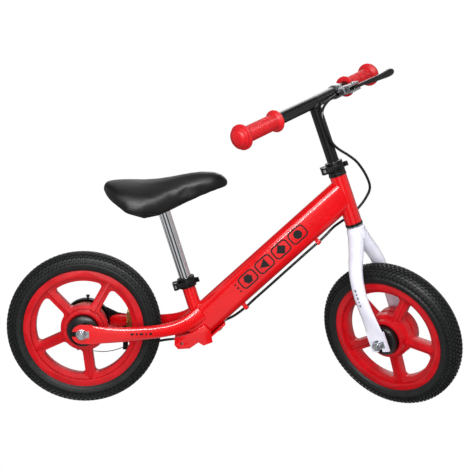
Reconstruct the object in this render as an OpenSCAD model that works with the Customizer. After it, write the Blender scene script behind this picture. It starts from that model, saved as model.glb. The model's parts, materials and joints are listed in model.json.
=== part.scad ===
// Balance bike with a hand-operated rear band brake.
// +X is forward, +Y is the rider's left, +Z is up. The origin is at the floor, under the middle.

/* [Overall layout] */
// Distance between the wheel axles
wheelbase = 586; // [560:1:620]
// Angle of the steering axis above the floor
head_angle = 68.7; // [67:0.1:71]
// How far the front end is turned to the right at rest
steer_turn = 42; // [30:1:45]
// Angle of the seat tube above the floor
seat_angle = 71.2; // [69:0.1:74]
// Distance along the floor from the seat tube's axis to the steering axis
seat_reach = 369.4; // [360:0.1:380]

/* [Wheels] */
// Outer radius of a tyre
tyre_r = 145; // [140:1:150]
// Width of a tyre
tyre_w = 46; // [42:1:50]
// Radius of the round tyre shoulders
tyre_round = 19; // [17:0.5:20.5]
// Outer radius of the rim, where the tyre sits
rim_r = 112.5; // [108:0.5:116]
// Outer radius of the windows between the spokes
window_r = 91; // [86:0.5:94]
// Width of a spoke
spoke_w = 18; // [14:0.5:22]
// Number of spokes
spokes = 5; // [3:1:7]
// Radius of the hub barrel
hub_r = 38; // [34:0.5:42]
// Axle diameter
axle_d = 10; // [8:0.5:12]
// Inner distance between the rear dropouts
rear_gap = 99; // [96:1:110]
// Inner distance between the fork dropouts
front_gap = 90; // [88:1:100]
// Bearing outer diameter
bearing_d = 26; // [24:1:28]
// Bearing width
bearing_w = 8; // [6:0.5:9]

/* [Frame] */
// Depth of the main tube
main_depth = 60; // [52:1:64]
// Width of the main tube
main_width = 34; // [30:1:36]
// Slope of the main tube
main_angle = 44.1; // [43:0.1:45.5]
// Wall of the main tube
main_wall = 2; // [1.6:0.1:3]
// Length of the head tube
head_len = 95; // [88:1:105]
// Wall of the seat tube, the steerer and the head tube
tube_wall = 1.6; // [1.2:0.1:2]
// Height of a chainstay's section
stay_h = 25; // [20:1:28]
// Width of a chainstay's section
stay_w = 16; // [12:1:18]
// Thickness of a dropout plate
dropout_t = 4; // [3:0.5:6]

/* [Seat] */
// Outer diameter of the seat post
post_d = 22.2; // [20:0.1:22.4]
// Height of the saddle clamp above the floor
saddle_clamp_z = 378; // [360:1:400]

/* [Handlebar] */
// Outer diameter of the handlebar tubes
bar_d = 22.2; // [20:0.1:22.4]
// Distance of the crossbar from the floor along the steering axis
bar_s = 621.5; // [590:1:650]
// Half width of the crossbar, to the grips' outer flanges
bar_half = 212; // [190:1:230]
// Diameter of a grip
grip_d = 27; // [25:0.5:32]
// Length of a grip from flange to flange
grip_len = 95; // [80:1:100]

/* [Fit] */
// Radial clearance of a running fit
run_gap = 0.05; // [0.02:0.01:0.1]
// Clearance between pieces that pass each other
pass_gap = 0.5; // [0.3:0.1:1]

/* [Hidden] */
$fn = 48;

red = "#e01e26";
rim_red = "#cc1a22";
black = "#1d1d1f";
tyre_black = "#2b2c2e";
white = "#e8e4f2";
chrome = "#c8ccd0";
zinc = "#b8a468";

// Tubes that slide or turn in each other.
seat_tube_d = post_d + 2 * tube_wall;
steerer_d = bar_d + 2 * tube_wall;
head_bore_d = steerer_d + 2 * tube_wall;
head_d = head_bore_d + 2 * tube_wall;

// The turned front wheel leans, so its axle is a little lower than the rear one.
lean = sin(steer_turn) * cos(head_angle);
ahead = sin(steer_turn) * sin(head_angle);
core_r = tyre_r - tyre_round;
core_y = tyre_w / 2 - tyre_round;
front_axle_z = core_r * sqrt(1 - lean * lean) + core_y * lean + tyre_round;
axle_s = front_axle_z / sin(head_angle);
steer_x = wheelbase + axle_s * cos(head_angle);
front_reach = core_r * sqrt(1 - ahead * ahead) + core_y * ahead + tyre_round;
middle_x = (wheelbase + front_reach - tyre_r) / 2;
seat_foot_x = steer_x - seat_reach;
junction_x = seat_foot_x - 56;

// Heights along the steering axis, from the floor.
head_top = 478.8;
head_low = head_top - head_len;
cup_flange = 4.5;
cone_h = 3.2;
cup_d = head_d + 1.7;
ball_path_r = head_bore_d / 2 - 0.3;
clamp_h = 19;
crown_top = head_low - cup_flange - cone_h;
bar_clamp_s = head_top + cup_flange + cone_h + pass_gap + clamp_h / 2;
steerer_top = bar_clamp_s + clamp_h / 2;
steerer_bore_d = bar_d + 2 * run_gap;
stem_low = head_low + 40;

// Main tube: its centre line passes through the head tube's middle.
main_len = 390;
main_s = 443;
main_top_x = steer_x - main_s * cos(head_angle);
main_top_z = main_s * sin(head_angle);

// Seat tube: heights along its axis, from the floor.
seat_tube_top = 254;
seat_clamp_u = 250;
seat_tube_bore_d = post_d + 2 * run_gap;
saddle_clamp_u = saddle_clamp_z / sin(seat_angle);
post_low = 206;
post_top = saddle_clamp_u - 1;

// Rear brake, on the left of the rear wheel.
drum_r = 37;
drum_out = rear_gap / 2 - 4.5;
lining_t = 2.6;
band_t = 1;
plate_r = 44.5;
plate_t = 1.8;
plate_out = rear_gap / 2 - 0.4;
arm_pivot = [-2, 102];
arm_tip = [-17, 87];
arm_t = 3;
arm_y = rear_gap / 2 + 4.5;
stop_x = 70;
stop_z = 92;
stop_y = rear_gap / 2 - 5.5;
anchor_y = stop_y + 5;

rear_axle_half = rear_gap / 2 + dropout_t + 13;
front_axle_half = front_gap / 2 + dropout_t + 11;
axle_r = axle_d / 2;
spacer_r = axle_r + 2.5;
hub_half = 24;
flange_w = 6;
drum_in = hub_half + flange_w;
bearing_at = hub_half - bearing_w / 2;
cap_r = 29;
cap_hole_r = spacer_r + 2;

// Saddle sections from its back: [forward of the clamp, half width, top and edge above the clamp].
saddle_sections = [
  [-109, 20, 41, 33], [-101, 42, 46, 22], [-85, 61, 48, 9], [-63, 71, 48, -4], [-35, 70, 48, -11],
  [-8, 58, 51, -7], [17, 44, 56, 2], [42, 34, 62, 13], [67, 28, 67, 24], [92, 23, 68, 34],
  [109, 17, 63, 40], [119, 9, 53, 43]
];
saddle_back = saddle_sections[0][0];
saddle_nose = saddle_sections[len(saddle_sections) - 1][0];

// Routes of the brake cable: [forward of the seat tube's foot, to the left, height] on the frame, and
// [forward of the rear axle, to the left, height] at the brake. The upper run hangs free in one bend.
housing_d = 5;
wire_d = 1.6;
function from_seat(points) = [for (p = points) [p[0] + seat_foot_x, p[1], p[2]]];
under_tube = from_seat([
  [184, 10, 335], [174, 4.5, 326], [165, 1, 318], [152, 0, 306], [118, 0, 273],
  [78, 0, 234], [48, 0, 205], [33, 0, 190]
]);
past_junction = from_seat([
  [13, 5, 172], [-4, 14, 160], [-22, 24, 148], [-40, 29, 134], [-62, 32, 122], [-92, 35, 115]
]);
lower_route = concat(under_tube, past_junction, [
  [150, stop_y - 6, 110], [118, stop_y - 1, 101], [95, stop_y, 93], [80, stop_y, 92]
]);
wire_route = [
  [70, stop_y, 92], [60, stop_y, 88], [46, stop_y + 0.5, 84], [30, stop_y + 1.5, 82], [11, stop_y + 3, 83],
  [-4, anchor_y - 0.5, 85.5], [-17, anchor_y, 87], [-24, anchor_y, 88]
];
loop_route = from_seat([
  [184.6, 10.4, 335.6], [196, 16.5, 346], [213, 24, 357], [231, 27, 370], [245, 28, 385],
  [256, 28, 402], [262, 27, 422], [252, 24, 446], [233, 17, 470], [212, 8, 485]
]);
rise_route = from_seat([
  [196, -2, 494], [183, -12, 504], [173, -19, 518], [165, -22, 537], [158, -20, 557],
  [161, -11, 571], [172, 6, 583], [188, 26, 593]
]);
// The run is drawn for a crossbar at this height, and its upper part follows the crossbar.
drawn_bar_s = 621.5;
bar_shift = (bar_s - drawn_bar_s) * [-cos(head_angle), 0, sin(head_angle)];
upper_route = concat(loop_route, [
  for (i = [0:len(rise_route) - 1]) rise_route[i] + bar_shift * min(1, i / (len(rise_route) - 4))
]);

module place() translate([-middle_x, 0, 0]) children();

// Steering frame: z runs up the steering axis from the floor, x is forward and y is left.
module steering_frame()
  place() translate([steer_x, 0, 0]) rotate([0, head_angle - 90, 0]) rotate([0, 0, -steer_turn]) children();

// The same axis before the front end is turned, for what stays with the frame.
module head_frame()
  place() translate([steer_x, 0, 0]) rotate([0, head_angle - 90, 0]) children();

// Seat frame: z runs up the seat tube's axis from the floor.
module seat_frame()
  place() translate([seat_foot_x, 0, 0]) rotate([0, seat_angle - 90, 0]) children();

// Wheel frames: z runs along the axle to the bike's right, y is up.
module rear_wheel_frame() place() translate([0, 0, tyre_r]) rotate([90, 0, 0]) children();
module front_wheel_frame() steering_frame() translate([0, 0, axle_s]) rotate([90, 0, 0]) children();

module tube(d, bore_d, length)
  difference() {
    cylinder(d = d, h = length);
    translate([0, 0, -1]) cylinder(d = bore_d, h = length + 2);
  }

module ring(r_out, r_in, z0, z1)
  translate([0, 0, z0]) if (r_in > 0) tube(2 * r_out, 2 * r_in, z1 - z0); else cylinder(r = r_out, h = z1 - z0);

module hexagon_nut(flats, bore_d, z0, z1)
  translate([0, 0, z0]) difference() {
    cylinder(d = flats / cos(30), h = z1 - z0, $fn = 6);
    translate([0, 0, -1]) cylinder(d = bore_d, h = z1 - z0 + 2, $fn = 32);
  }

// A solid skin over a row of closed rings that all have the same number of points.
module loft(rings) {
  n = len(rings[0]);
  last = len(rings) - 1;
  points = [for (r = rings, p = r) p];
  sides = [for (i = [0:last - 1], j = [0:n - 1])
    for (f = [[i * n + j, (i + 1) * n + j, (i + 1) * n + (j + 1) % n],
              [i * n + j, (i + 1) * n + (j + 1) % n, i * n + (j + 1) % n]]) f];
  start = [for (j = [0:n - 1]) j];
  finish = [for (j = [n - 1:-1:0]) last * n + j];
  polyhedron(points = points, faces = concat([start], sides, [finish]), convexity = 8);
}

function unit(v) = v / norm(v);
function heading(p, i) = unit(p[min(i + 1, len(p) - 1)] - p[max(i - 1, 0)]);

// One point on a smooth curve through four points.
function blend4(a, b, c, d, k) =
  0.5 * (2 * b + (c - a) * k + (2 * a - 5 * b + 4 * c - d) * k * k + (3 * b - a - 3 * c + d) * k * k * k);
function smooth(p, steps) = [
  for (i = [0:len(p) - 2], k = [0:steps - 1])
    blend4(p[max(i - 1, 0)], p[i], p[i + 1], p[min(i + 2, len(p) - 1)], k / steps),
  p[len(p) - 1]
];

// A ring across a path at p, w wide along the side direction and h along the other.
function path_ring(p, dir, w, h, n, side_hint) =
  let(side = unit(side_hint - dir * (side_hint * dir)), other = cross(dir, side))
  [for (j = [0:n - 1]) p + side * (w / 2) * cos(360 * j / n) + other * (h / 2) * sin(360 * j / n)];

// A round tube along a smooth route.
module cable(route, d, steps) {
  p = smooth(route, steps);
  loft([for (i = [len(p) - 1:-1:0]) path_ring(p[i], -heading(p, i), d, d, 8, [0.1, 0.8, 0.6])]);
}

module stadium(depth, width)
  union() {
    square([depth - width, width], center = true);
    for (side = [-1, 1]) translate([side * (depth - width) / 2, 0]) circle(d = width);
  }

// ---------- Frame ----------

module main_tube_frame()
  place() translate([main_top_x, 0, main_top_z]) rotate([0, 90 - main_angle, 0]) mirror([0, 0, 1]) children();

module main_tube_solid() main_tube_frame() linear_extrude(main_len) stadium(main_depth, main_width);

module main_tube() color(red)
  difference() {
    main_tube_solid();
    main_tube_frame() translate([0, 0, -1]) linear_extrude(main_len - main_wall)
      stadium(main_depth - 2 * main_wall, main_width - 2 * main_wall);
    head_frame() translate([0, 0, head_low - 60]) cylinder(d = head_d, h = head_len + 160);
    head_frame() translate([60, 0, head_low]) cube([120, 80, 400], center = true);
    seat_frame() translate([0, 0, 160]) cylinder(d = post_d + 4 * pass_gap, h = 100);
  }

module head_tube() color(red)
  head_frame() translate([0, 0, head_low]) tube(head_d, head_bore_d, head_len);

module seat_tube() color(red)
  difference() {
    seat_frame() translate([0, 0, 180]) tube(seat_tube_d, seat_tube_bore_d, seat_tube_top - 180);
    main_tube_solid();
    seat_frame() translate([-20, 0, seat_tube_top - 5]) cube([40, 3, 20], center = true);
  }

// Centre line of a chainstay from the dropout to the main tube: [share of its length, share of its spread, height].
stay_start_x = 14;
stay_end_y = 15;
stay_line = [
  [0, 1.014, tyre_r - 1], [0.153, 1, tyre_r - 1], [0.327, 0.904, tyre_r], [0.5, 0.74, tyre_r + 2],
  [0.663, 0.575, tyre_r + 5], [0.797, 0.384, tyre_r + 10], [0.911, 0.164, tyre_r + 19], [1, 0, tyre_r + 32]
];
function stay_route(side) = [
  for (p = stay_line)
    [stay_start_x + p[0] * (junction_x - stay_start_x),
     side * (stay_end_y + p[1] * ((rear_gap + dropout_t) / 2 - stay_end_y)), p[2]]
];
stay_heights = [36, 31, 28, stay_h + 1, stay_h, stay_h + 1, stay_h + 4, stay_h + 5];
stay_widths = [dropout_t, 9, stay_w - 2, stay_w, stay_w, stay_w, stay_w, stay_w - 2];

// The tube of one chainstay, made larger all round where something fits over it.
module stay_body(side, extra = 0)
  place() loft([for (i = [len(stay_heights) - 1:-1:0])
    path_ring(stay_route(side)[i], -heading(stay_route(side), i), stay_widths[i] + extra,
              stay_heights[i] + extra, 20, [0, 1, 0])]);

module dropout(side)
  translate([0, side * (rear_gap + dropout_t) / 2, tyre_r]) rotate([90, 0, 0])
    linear_extrude(dropout_t, center = true) difference() {
      union() {
        circle(r = 18);
        translate([0, -18]) square([22, 36]);
      }
      circle(d = axle_d + 2 * run_gap);
      translate([-20, -(axle_r + run_gap)]) square([20, axle_d + 2 * run_gap]);
    }

module chainstay(side) color(red)
  difference() {
    union() {
      stay_body(side);
      place() dropout(side);
    }
    main_tube_solid();
    seat_frame() translate([0, 0, 100]) cylinder(d = seat_tube_d, h = 160);
  }
module chainstay_right() chainstay(-1);
module chainstay_left() chainstay(1);

// Footrest bracket: two side plates under the junction, joined by a web, with a cross hole.
// Its outline is [forward of the junction, height].
bracket_y = 20;
bracket_t = 3;
bracket_hole_d = 6;
bracket_hole = [-31, 121];
bracket_bolt_d = 6;
tab_from = 330;
tab_len = 48;
tab_bolt_at = tab_len / 2 - 8;
bracket_outline = [
  [-45, 132], [-45, 118], [-38, 110], [-16, 112], [0, 124], [10, 118], [27, 125], [23, 146], [10, 158], [-11, 143]
];
web_outline = [[-38, 110], [-16, 112], [-16, 115], [-38, 113]];

module bracket_plates()
  place() translate([junction_x, 0, 0]) {
    for (side = [-1, 1])
      translate([0, side * bracket_y, 0]) rotate([90, 0, 0])
        linear_extrude(bracket_t, center = true) difference() {
          polygon(bracket_outline);
          translate(bracket_hole) circle(d = bracket_hole_d);
        }
    translate([0, bracket_y, 0]) rotate([90, 0, 0]) linear_extrude(2 * bracket_y) polygon(web_outline);
  }

module bracket_tab()
  main_tube_frame() translate([main_depth / 2, -bracket_y, tab_from]) difference() {
    cube([bracket_t, 2 * bracket_y, tab_len]);
    translate([-1, bracket_y, tab_bolt_at]) rotate([0, 90, 0]) cylinder(d = bracket_bolt_d + 0.4, h = 9);
  }

module footrest_bracket() color(red)
  difference() {
    union() {
      bracket_plates();
      bracket_tab();
    }
    main_tube_solid();
    for (side = [-1, 1]) stay_body(side, 1);
    place() cable(lower_route, housing_d + 3, 1);
  }

// Bolt that clamps the bracket's tab to the tube.
module bracket_bolt() color(chrome)
  main_tube_frame() translate([main_depth / 2 + bracket_t, 0, tab_from + tab_bolt_at]) rotate([0, 90, 0]) {
    cylinder(d = 10 / cos(30), h = 5, $fn = 6);
    translate([0, 0, -bracket_t]) cylinder(d = bracket_bolt_d, h = bracket_t);
  }

// Welded loops that hold the housing under the main tube.
module cable_guides() color(red)
  difference() {
    place() for (p = from_seat([[165, 0, 319], [33, 0, 190]]))
      translate(p) rotate([0, 90 - main_angle, 0]) translate([0, 0, -4]) {
        cylinder(d = housing_d + 5, h = 8);
        translate([-12, -3, 0]) cube([12, 6, 8]);
      }
    main_tube_solid();
    place() cable(lower_route, housing_d + 0.6, 3);
  }

// ---------- Headset ----------

module upper_cup() color(black)
  head_frame() difference() {
    union() {
      ring(head_bore_d / 2, steerer_d / 2 + run_gap, head_top - 10, head_top);
      ring(cup_d / 2, steerer_d / 2 + run_gap, head_top, head_top + cup_flange);
    }
    ring(head_d / 2 - 0.7, steerer_d / 2 - 1, head_top + cup_flange - 3, head_top + cup_flange + 1);
  }

module lower_cup() color(black)
  head_frame() difference() {
    union() {
      ring(head_bore_d / 2, steerer_d / 2 + run_gap, head_low, head_low + 10);
      ring(cup_d / 2, steerer_d / 2 + run_gap, head_low - cup_flange, head_low);
    }
    ring(head_d / 2 - 0.7, steerer_d / 2 - 1, head_low - cup_flange - 1, head_low - cup_flange + 3);
  }

ball_d = 2.3;
module headset_balls() color(chrome)
  head_frame()
    for (s = [head_top + cup_flange - 1.6, head_low - cup_flange + 1.6], a = [0:24:359])
      rotate([0, 0, a]) translate([ball_path_r, 0, s]) sphere(d = ball_d, $fn = 16);

module crown_race() color(chrome)
  steering_frame() ring(cup_d / 2 - 1, steerer_d / 2, crown_top, crown_top + cone_h - pass_gap);

module adjusting_cone() color(black)
  steering_frame()
    ring(cup_d / 2 - 0.5, steerer_d / 2, head_top + cup_flange + pass_gap, head_top + cup_flange + cone_h);

// ---------- Quick clamps: collar, bolt with its eye, and a lever that wraps round ----------

clamp_wall = 3.8;
clamp_bolt_d = 5;
eye_y = -15;
eye_r = 3.6;
pin_r = 2;
cheek_r = 5.2;

// The clamp's bolt stands this far behind the middle of a tube.
function bolt_x(d) = -d / 2 - 8.3;

module clamp_collar(d)
  difference() {
    union() {
      cylinder(d = d + 2 * clamp_wall, h = clamp_h, center = true);
      translate([bolt_x(d) + 1, 0, -1]) cube([14, 16, clamp_h - 5], center = true);
    }
    cylinder(d = d, h = clamp_h + 2, center = true);
    translate([-22, 0, 0]) cube([44, 2.4, clamp_h + 2], center = true);
    translate([bolt_x(d), 0, 0]) rotate([90, 0, 0]) cylinder(d = clamp_bolt_d + 0.4, h = 40, center = true);
  }

module clamp_bolt(d)
  translate([bolt_x(d), 0, 0]) {
    rotate([90, 0, 0]) cylinder(d = clamp_bolt_d, h = -eye_y - 1);
    rotate([-90, 0, 0]) cylinder(d = clamp_bolt_d, h = 14);
    rotate([-90, 0, 0]) hexagon_nut(10, clamp_bolt_d, 8.1, 12.5);
    translate([0, eye_y, 0]) cylinder(r = eye_r, h = 6, center = true);
    translate([0, eye_y, 0]) cylinder(r = pin_r, h = 13.6, center = true);
  }

module clamp_lever(d) {
  inner = d / 2 + clamp_wall + 1.2;
  difference() {
    union() {
      translate([bolt_x(d), eye_y, 0]) cylinder(r = cheek_r, h = 13, center = true);
      translate([bolt_x(d), eye_y - cheek_r, -4.5]) cube([19, 3, 9]);
      intersection() {
        ring(inner + 3, inner, -4.5, 4.5);
        translate([0, 0, -10]) linear_extrude(20) polygon([[0, 0], [-12, -40], [60, -60], [40, -8]]);
      }
      rotate([0, 0, -24]) translate([inner, -1, -4.5]) cube([8, 3, 9]);
    }
    cylinder(r = inner, h = 30, center = true);
    translate([bolt_x(d), eye_y, 0]) cylinder(r = cheek_r + 0.2, h = 6.6, center = true);
    translate([bolt_x(d), eye_y, 0]) cylinder(r = pin_r + run_gap, h = 30, center = true);
    translate([bolt_x(d) - 10, eye_y - 1, -3.3]) cube([20, 15, 6.6]);
  }
}

module seat_clamp_collar() color(black) seat_frame() translate([0, 0, seat_clamp_u]) clamp_collar(seat_tube_d);
module seat_clamp_bolt() color(chrome) seat_frame() translate([0, 0, seat_clamp_u]) clamp_bolt(seat_tube_d);
module seat_clamp_lever() color(black) seat_frame() translate([0, 0, seat_clamp_u]) clamp_lever(seat_tube_d);

module bar_clamp_frame()
  steering_frame() translate([0, 0, bar_clamp_s]) rotate([0, 0, steer_turn]) children();
module bar_clamp_collar() color(black) bar_clamp_frame() clamp_collar(steerer_d);
module bar_clamp_bolt() color(chrome) bar_clamp_frame() clamp_bolt(steerer_d);
module bar_clamp_lever() color(black) bar_clamp_frame() clamp_lever(steerer_d);

// ---------- Wheels ----------

module tyre() color(tyre_black)
  rotate_extrude($fn = 96) difference() {
    union() {
      for (side = [-1, 1]) translate([core_r, side * core_y]) circle(r = tyre_round);
      translate([core_r, -core_y]) square([tyre_round, 2 * core_y]);
      translate([core_r - tyre_round, -core_y]) square([tyre_round, 2 * core_y]);
    }
    translate([0, -tyre_w]) square([rim_r, 2 * tyre_w]);
  }

module window_outline() {
  half_turn = 180 / spokes;
  offset(r = 7) offset(delta = -7)
    intersection() {
      difference() {
        circle(r = window_r, $fn = 90);
        circle(r = hub_r + 6, $fn = 60);
      }
      translate([spoke_w / 2 / sin(half_turn), 0])
        polygon([[0, 0], [200 * cos(half_turn), 200 * sin(half_turn)], [300, 0],
                 [200 * cos(half_turn), -200 * sin(half_turn)]]);
    }
}

rim_half = 17;
web_half = 9;
// The far flange carries the brake drum at the back and is a wider ring at the front.
module rim(flange_r) color(rim_red)
  difference() {
    union() {
      ring(rim_r, window_r + 9, -rim_half, rim_half);
      translate([0, 0, -web_half]) linear_extrude(2 * web_half) difference() {
        circle(r = window_r + 10);
        for (k = [0:spokes - 1]) rotate([0, 0, (k + 0.5) * 360 / spokes]) window_outline();
      }
      for (k = [0:spokes - 1]) rotate([0, 0, k * 360 / spokes])
        translate([hub_r - 2, -2, -web_half - 3]) cube([window_r + 10 - hub_r, 4, 2 * web_half + 6]);
      cylinder(r = hub_r, h = 2 * hub_half, center = true);
      ring(flange_r, hub_r - 6, -drum_in, -10);
    }
    cylinder(d = spacer_r * 2 + 2, h = 80, center = true);
    for (side = [-1, 1]) on_side(side) {
      translate([0, 0, hub_half - bearing_w]) cylinder(d = bearing_d, h = 40);
      translate([0, 0, hub_half - 5]) cylinder(r = hub_r - 7, h = 40);
    }
  }
module on_side(side) mirror([0, 0, side > 0 ? 0 : 1]) children();

module hub_bearings() color(chrome)
  for (side = [-1, 1])
    translate([0, 0, side * bearing_at]) translate([0, 0, -bearing_w / 2])
      tube(bearing_d, axle_d + 2 * run_gap, bearing_w);

module hub_cap() translate([0, 0, hub_half - 5])
  rotate_extrude() polygon([[bearing_d / 2 + 1, 0], [cap_r, 0], [cap_r, 14], [cap_r - 6, 18],
    [cap_hole_r, 18], [cap_hole_r, 15], [cap_r - 8, 15], [cap_r - 4, 11], [cap_r - 4, 3], [bearing_d / 2 + 1, 3]]);

module axle(half) color(chrome) cylinder(d = axle_d, h = 2 * half, center = true);

// Locknuts inside the dropouts and domed nuts outside them.
module axle_nuts(gap, seat) {
  for (side = [-1, 1]) on_side(side) {
    ring(spacer_r, axle_r, hub_half + 0.6, gap / 2);
    hexagon_nut(1.5 * axle_d, axle_d, seat + 1.6, seat + 9.6);
  }
}

module axle_washer(seat)
  for (side = [-1, 1]) on_side(side)
    translate([0, 0, seat]) linear_extrude(1.5) difference() {
      union() {
        circle(d = 2 * axle_d);
        translate([4, -6.5]) square([10, 13]);
      }
      circle(d = axle_d);
    }

rear_seat = rear_gap / 2 + dropout_t;
front_seat = front_gap / 2 + dropout_t;
rear_spoke_angle = -10;
front_spoke_angle = -24;

module rear_rim() rear_wheel_frame() rotate([0, 0, rear_spoke_angle]) rim(hub_r);
module rear_tyre() rear_wheel_frame() tyre();
module rear_bearings() rear_wheel_frame() hub_bearings();
module rear_hub_caps() color(black) rear_wheel_frame() hub_cap();
module rear_axle() rear_wheel_frame() axle(rear_axle_half);
module rear_nuts() color(chrome) rear_wheel_frame() axle_nuts(rear_gap, rear_seat);
module rear_washers() color(chrome) rear_wheel_frame() axle_washer(rear_seat);

module front_rim() front_wheel_frame() rotate([0, 0, front_spoke_angle]) rim(hub_r + 7);
module front_tyre() front_wheel_frame() tyre();
module front_bearings() front_wheel_frame() hub_bearings();
module front_hub_caps() color(black) front_wheel_frame() for (side = [-1, 1]) on_side(side) hub_cap();
module front_axle() front_wheel_frame() axle(front_axle_half);
module front_nuts() color(chrome) front_wheel_frame() axle_nuts(front_gap, front_seat);
module front_washers() color(chrome) front_wheel_frame() axle_washer(front_seat);

// ---------- Rear band brake ----------

// The brake's frame: z runs along the axle to the bike's left, x is forward.
module brake_frame() place() translate([0, 0, tyre_r]) rotate([-90, 0, 0]) children();

module brake_drum() color(chrome)
  brake_frame() difference() {
    cylinder(r = drum_r, h = drum_out);
    translate([0, 0, -1]) cylinder(r = drum_r + 1, h = drum_in + 1);
    translate([0, 0, drum_in + 2.5]) cylinder(r = drum_r - 3, h = 40);
    cylinder(r = spacer_r + 2, h = 80);
  }

band_gap = 6;
module band_ring(r_in, r_out)
  brake_frame() difference() {
    ring(r_out, r_in, drum_out - 12, drum_out - 1);
    rotate([0, 0, 97]) translate([0, -band_gap / 2, 0]) cube([60, band_gap, 80]);
  }
module brake_lining() color("#7a3a22") band_ring(drum_r + 0.35, drum_r + 0.35 + lining_t);
module brake_band() color(black) band_ring(drum_r + 0.35 + lining_t, drum_r + 0.35 + lining_t + band_t);

module brake_back_plate() color(black)
  difference() {
    brake_frame() union() {
      ring(plate_r, plate_r - plate_t, drum_out - 9, plate_out);
      ring(plate_r, spacer_r + 1, plate_out - plate_t, plate_out);
      translate([0, 0, plate_out - plate_t]) linear_extrude(plate_t)
        polygon([[30, -30], [60, -16], [96, -11], [98, 1], [62, 0], [42, 2]]);
      translate([0, 0, plate_out - plate_t]) linear_extrude(plate_t)
        polygon([[-12, 38], [-8, 50], [3, 50], [12, 38]]);
    }
    place() translate([arm_pivot[0], 0, arm_pivot[1]]) rotate([-90, 0, 0]) cylinder(r = pin_r, h = 90);
    stay_body(1, 0.4);
  }

// Screw and pivot pin of the brake: the screw sets the band, the pin carries the arm.
module brake_adjuster() color(black)
  place() {
    translate([2, drum_out - 5, tyre_r + plate_r + 0.2]) {
      cylinder(d = 4, h = 6);
      translate([0, 0, 4]) cylinder(d = 7, h = 3.4);
    }
    translate([arm_pivot[0], plate_out - plate_t, arm_pivot[1]]) rotate([-90, 0, 0]) {
      cylinder(r = pin_r, h = arm_y + arm_t / 2 - plate_out + plate_t + 1);
      translate([0, 0, arm_y + arm_t / 2 - plate_out + plate_t + 0.3]) cylinder(r = 3.6, h = 1.8);
    }
  }

module arm_frame() place() translate([arm_pivot[0], arm_y, arm_pivot[1]]) rotate([90, 0, 0]) children();
module brake_arm() color(black)
  arm_frame() {
    reach = arm_tip - arm_pivot;
    length = norm(reach);
    turn = atan2(reach[1], reach[0]);
    rotate([0, 0, turn]) linear_extrude(arm_t, center = true) difference() {
      union() {
        circle(r = 6);
        translate([0, -4]) square([length, 8]);
        translate([length, 0]) circle(r = 4.6);
      }
      circle(r = pin_r + run_gap);
      translate([length, 0]) circle(d = 3 + 2 * run_gap);
    }
  }

module brake_spring() color(chrome)
  place() translate([arm_pivot[0], 0, arm_pivot[1]]) rotate([-90, 0, 0])
    ring(4.8, pin_r + 0.3, plate_out + 0.3, arm_y - arm_t / 2 - 0.3);

// Pinch bolt that carries the wire's end in the arm's eye.
module wire_anchor() color(chrome)
  place() translate([arm_tip[0], 0, arm_tip[1]]) difference() {
    rotate([-90, 0, 0]) {
      ring(3.6, 0, anchor_y - 3.2, arm_y - arm_t / 2 - 0.05);
      ring(1.5, 0, arm_y - arm_t / 2 - 0.1, arm_y + arm_t / 2 + 0.6);
      ring(3, 0, arm_y + arm_t / 2 + 0.1, arm_y + arm_t / 2 + 2.6);
    }
    translate([-10, anchor_y, 0]) rotate([0, 90, 0]) cylinder(d = wire_d + 1.6, h = 20);
  }

strap_x = 82;
module torque_strap() color(zinc)
  difference() {
    place() translate([strap_x, 0, 0]) rotate([90, 0, 90]) linear_extrude(10, center = true)
      translate([rear_gap / 2 - 14.5, tyre_r - 18]) square([24, 38]);
    stay_body(1, 0.4);
    brake_back_plate();
  }

module cable_stop() color(black)
  difference() {
    place() union() {
      translate([stop_x, stop_y, stop_z]) rotate([0, 90, 0]) cylinder(d = 9, h = 9.8);
      translate([stop_x, stop_y - 1.5, stop_z]) cube([10, 3, 44]);
    }
    place() translate([stop_x - 5, stop_y, stop_z]) rotate([0, 90, 0]) cylinder(d = 2.4, h = 20);
    stay_body(1, 0.3);
    torque_strap();
  }

module lower_housing() color(black) place() cable(lower_route, housing_d, 3);
module inner_wire() color(chrome) place() cable(wire_route, wire_d, 3);
module upper_housing() color(black) place() cable(upper_route, housing_d, 3);

// ---------- Fork ----------

// Centre line of a fork blade: [forward, to the side, share of its length down from the crown].
blade_low = axle_s + 23.5;
blade_end_y = (front_gap + dropout_t) / 2;
blade_line = [
  [0, 5, 0.03], [0, 8, 0.095], [-0.5, 14, 0.16], [-1, 23, 0.24], [-2, 32, 0.315], [-3, blade_end_y - 8, 0.395],
  [-4, blade_end_y - 2.5, 0.495], [-4.5, blade_end_y + 0.5, 0.62], [-3.5, blade_end_y + 1, 0.75],
  [-2, blade_end_y, 0.9], [-1, blade_end_y, 1]
];
function blade_route(side) = [
  for (p = blade_line) [p[0], side * p[1], crown_top - p[2] * (crown_top - blade_low)]
];
blade_depths = [29, 31, 31, 30, 29, 28, 27, 27, 28, 32, 36];
blade_widths = [30, 28, 26, 24, 23, 22, 21, 19, 15, 9, dropout_t];

module blade(side)
  loft([for (i = [0:len(blade_depths) - 1])
    path_ring(blade_route(side)[i], heading(blade_route(side), i), blade_depths[i], blade_widths[i], 24,
              [1, 0, 0])]);

module fork_tip(side)
  translate([0, side * (front_gap + dropout_t) / 2, axle_s]) rotate([90, 0, 0])
    linear_extrude(dropout_t, center = true) difference() {
      translate([-18.5, -15]) square([38, 40]);
      circle(d = axle_d + 2 * run_gap);
      translate([-axle_r - run_gap, -20]) square([axle_d + 2 * run_gap, 20]);
    }

module fork() color(white)
  steering_frame() difference() {
    union() {
      for (side = [-1, 1]) {
        blade(side);
        fork_tip(side);
      }
      translate([0, 0, crown_top - 22]) cylinder(d = steerer_d, h = steerer_top - crown_top + 22);
      translate([0, 0, crown_top - 14]) cylinder(d = 31, h = 14);
    }
    translate([0, 0, crown_top - 60]) cylinder(d = steerer_bore_d, h = steerer_top);
    rotate([0, 0, steer_turn]) translate([-20, 0, steerer_top]) cube([40, 2.4, 36], center = true);
  }

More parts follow.
